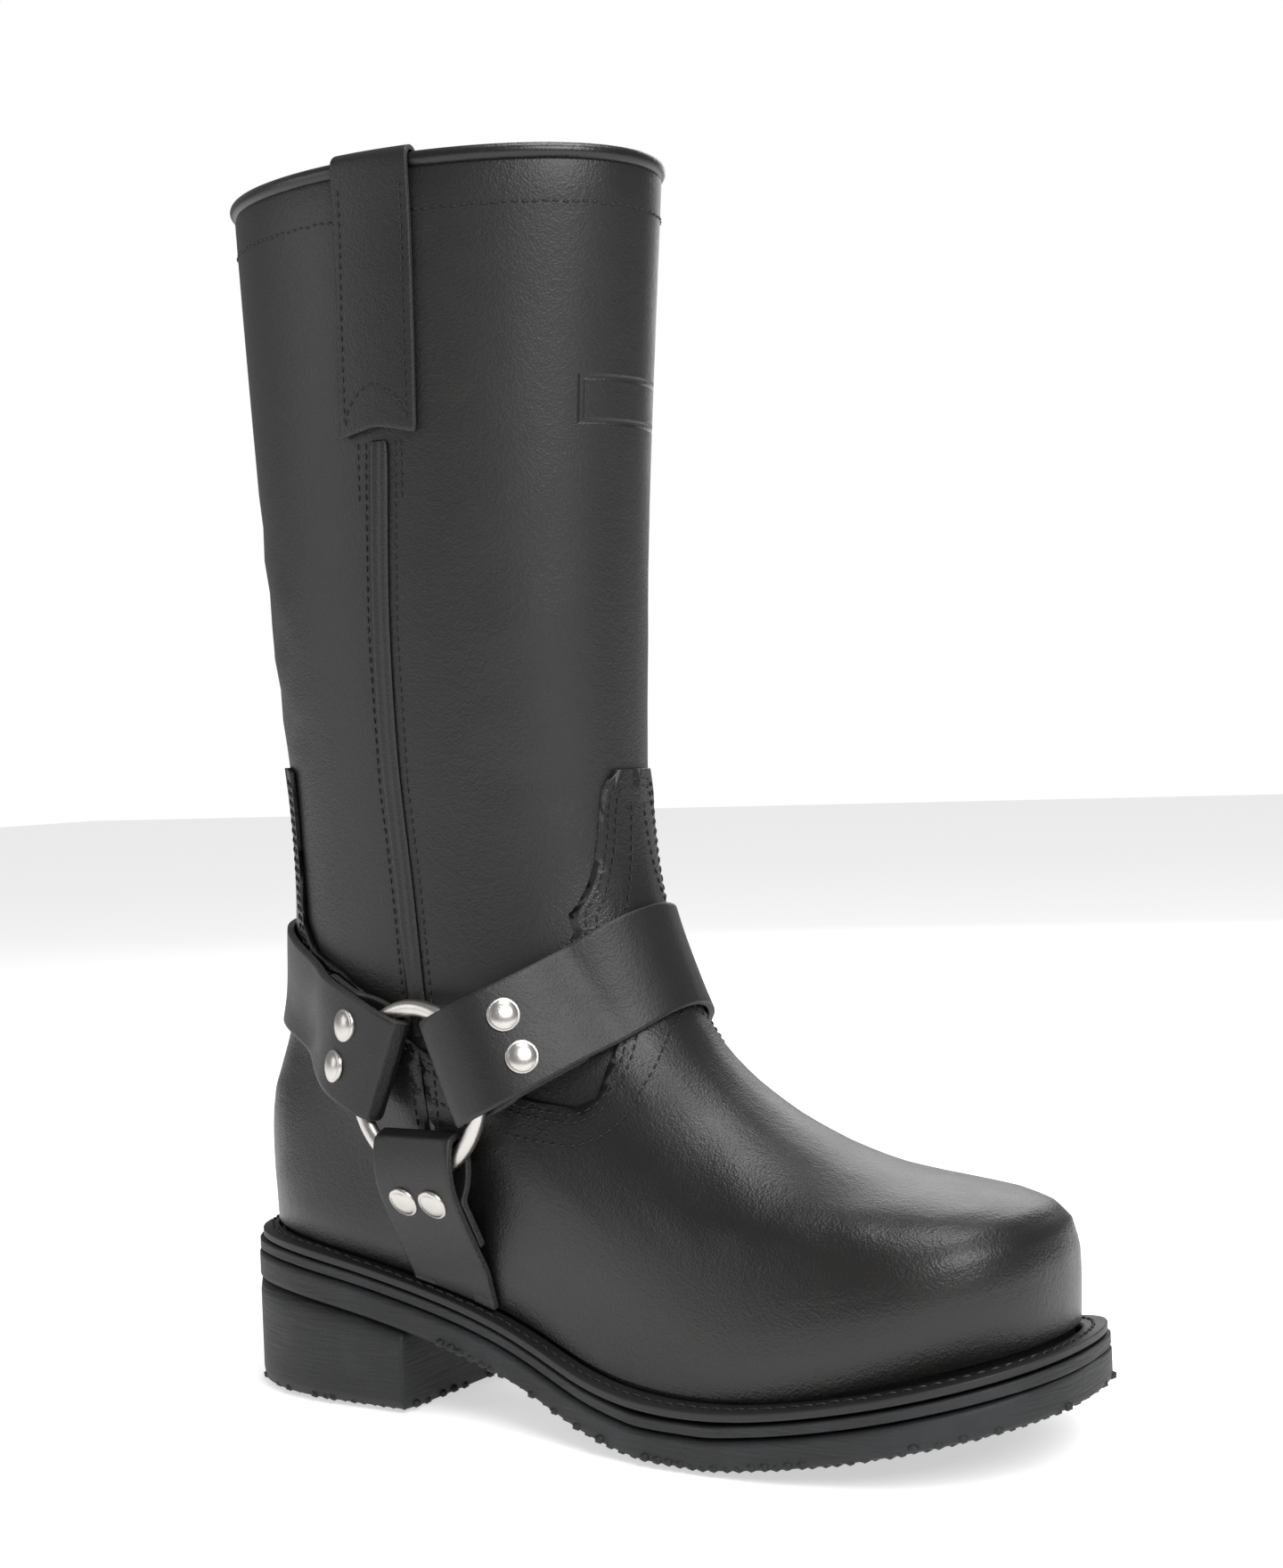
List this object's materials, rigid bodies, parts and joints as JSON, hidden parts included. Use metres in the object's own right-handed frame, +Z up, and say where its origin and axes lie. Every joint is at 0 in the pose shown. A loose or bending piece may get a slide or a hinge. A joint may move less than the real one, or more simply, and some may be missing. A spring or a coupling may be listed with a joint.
{
  "type": "harness boot",
  "caption": "Pull-on leather harness boot for the right foot, with a tall shaft, strap harness on side rings, welted sole and block heel.",
  "frame": {"origin": "on the floor, under the middle of the boot's bounding box", "axes": "+X to the toe, +Y to the inner side of the foot, +Z up"},
  "size_m": [0.3, 0.1184, 0.3997],
  "materials": {
    "black_leather": "semi-matte full-grain leather with soft creases",
    "sole_rubber": "matte moulded rubber",
    "satin_nickel": "satin nickel plating"
  },
  "bodies": {
    "root": {"outsole": "sole_rubber", "midsole": "sole_rubber", "heel_block": "sole_rubber", "welt": "black_leather", "insole": "black_leather", "upper": "black_leather", "vamp": "black_leather", "counter": "black_leather", "collar_piping": "black_leather", "seam_outer": "black_leather", "seam_inner": "black_leather", "pull_strap_outer": "black_leather", "pull_strap_inner": "black_leather", "foot_strap_outer": "black_leather", "foot_strap_inner": "black_leather", "instep_strap": "black_leather", "heel_strap": "black_leather", "ring_outer": "satin_nickel", "ring_inner": "satin_nickel", "rivet_instep_outer_1": "satin_nickel", "rivet_instep_outer_2": "satin_nickel", "rivet_instep_inner_1": "satin_nickel", "rivet_instep_inner_2": "satin_nickel", "rivet_heel_outer_1": "satin_nickel", "rivet_heel_outer_2": "satin_nickel", "rivet_heel_inner_1": "satin_nickel", "rivet_heel_inner_2": "satin_nickel", "rivet_foot_outer_1": "satin_nickel", "rivet_foot_outer_2": "satin_nickel", "rivet_foot_inner_1": "satin_nickel", "rivet_foot_inner_2": "satin_nickel"}
  },
  "joints": []
}
